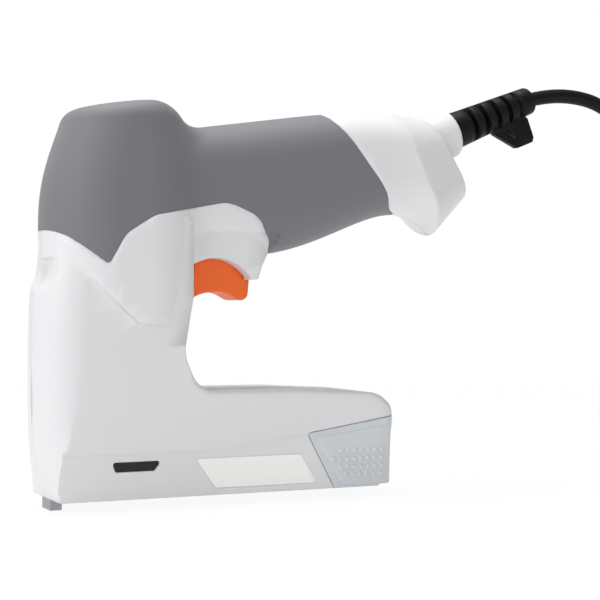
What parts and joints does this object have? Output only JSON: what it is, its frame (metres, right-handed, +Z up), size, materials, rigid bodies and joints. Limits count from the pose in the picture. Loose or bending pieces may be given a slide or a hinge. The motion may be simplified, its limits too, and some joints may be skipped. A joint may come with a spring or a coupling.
{
  "type": "electric stapler",
  "caption": "Corded electric stapler: white moulded housing with grey soft grip, orange trigger, solenoid driver and rear-loading magazine.",
  "frame": {"origin": "under the middle of the tool, level with the tip of its nose, cord left out", "axes": "-X towards the nose and front, +X towards the magazine cap and cord, +Y to the tool's right, +Z up"},
  "size_m": [0.5153, 0.0654, 0.1944],
  "materials": {
    "housing_white": "moulded ABS, satin white",
    "grip_grey": "soft moulded grip, matt grey",
    "screw_steel": "zinc plated",
    "label_white": "bare printed-plate blank",
    "window_smoke": "smoked",
    "trigger_orange": "moulded orange",
    "switch_black": "moulded",
    "switch_red": "moulded",
    "spring_steel": "drawn wire",
    "yoke_steel": "zinc plated",
    "bobbin_nylon": "natural nylon",
    "winding_copper": "enamelled copper wire",
    "rubber_black": "matt",
    "nose_steel": "hardened, ground",
    "magazine_steel": "bright plated sheet",
    "staple_steel": "galvanised wire",
    "cap_grey": "moulded blue-grey",
    "board_green": "glass epoxy board",
    "board_parts_black": "moulded",
    "clamp_black": "moulded",
    "cord_rubber": "satin black",
    "lead_blue": "insulated wire",
    "tie_black": "woven strap",
    "blade_brass": "nickelled brass"
  },
  "bodies": {
    "tool_body": {"housing_left": "housing_white", "housing_right": "housing_white", "housing_screws": "screw_steel", "grip_left": "grip_grey", "grip_right": "grip_grey", "label_plate": "label_white", "staple_window": "window_smoke", "switch_body": "switch_black", "solenoid_yoke": "yoke_steel", "solenoid_bobbin": "bobbin_nylon", "solenoid_winding": "winding_copper", "bumper": "rubber_black", "return_spring": "spring_steel", "nose_guide": "nose_steel", "blade_guide": "nose_steel", "magazine_cover": "magazine_steel", "control_board": "board_green", "board_parts": "board_parts_black", "terminal_block": "switch_black", "strain_relief": "cord_rubber", "cord_tail": "cord_rubber", "cord_clamp": "clamp_black", "clamp_screws": "screw_steel", "supply_leads": "lead_blue", "cord_tube": "cord_rubber", "cord_hank": "cord_rubber", "cord_end": "cord_rubber", "cord_tie": "tie_black", "mains_plug": "cord_rubber", "plug_blades": "blade_brass"},
    "trigger": {"trigger": "trigger_orange", "trigger_spring": "spring_steel"},
    "switch_lever": {"switch_lever": "spring_steel"},
    "switch_button": {"switch_button": "switch_red"},
    "driver": {"plunger": "yoke_steel", "driver_carrier": "yoke_steel", "driver_blade": "nose_steel", "blade_pin": "nose_steel"},
    "magazine": {"magazine_channel": "magazine_steel", "inner_rail": "magazine_steel", "staple_stick": "staple_steel", "guide_rod": "nose_steel", "pusher_spring": "spring_steel", "magazine_cap": "cap_grey"},
    "pusher": {"pusher": "magazine_steel"}
  },
  "joints": [
    {"name": "trigger_slide", "type": "slide", "parent": "tool_body", "child": "trigger", "axis": [0.0872, 0, 0.9962], "range_m": [0, 0.005], "stiffness_N_per_m": 600, "springref_m": -0.002, "deforming": ["trigger_spring"]},
    {"name": "switch_lever_hinge", "type": "hinge", "parent": "tool_body", "child": "switch_lever", "pos_m": [-0.03, 0, 0.1196], "axis": [0, -1, 0], "range_deg": [0, 18.3]},
    {"name": "switch_button_slide", "type": "slide", "parent": "tool_body", "child": "switch_button", "axis": [0, 0, 1], "range_m": [0, 0.0008]},
    {"name": "driver_slide", "type": "slide", "parent": "tool_body", "child": "driver", "axis": [0, 0, -1], "range_m": [0, 0.0213], "stiffness_N_per_m": 250, "springref_m": -0.012, "deforming": ["return_spring"]},
    {"name": "magazine_slide", "type": "slide", "parent": "tool_body", "child": "magazine", "axis": [1, 0, 0], "range_m": [0, 0.11]},
    {"name": "pusher_slide", "type": "slide", "parent": "magazine", "child": "pusher", "axis": [1, 0, 0], "range_m": [0, 0.06], "stiffness_N_per_m": 60, "springref_m": -0.02, "deforming": ["pusher_spring"]}
  ],
  "couplings": [
    {"joint": "switch_lever_hinge", "follows": "trigger_slide", "rad_per_m": 62},
    {"joint": "switch_button_slide", "follows": "trigger_slide", "ratio": 0.15}
  ]
}
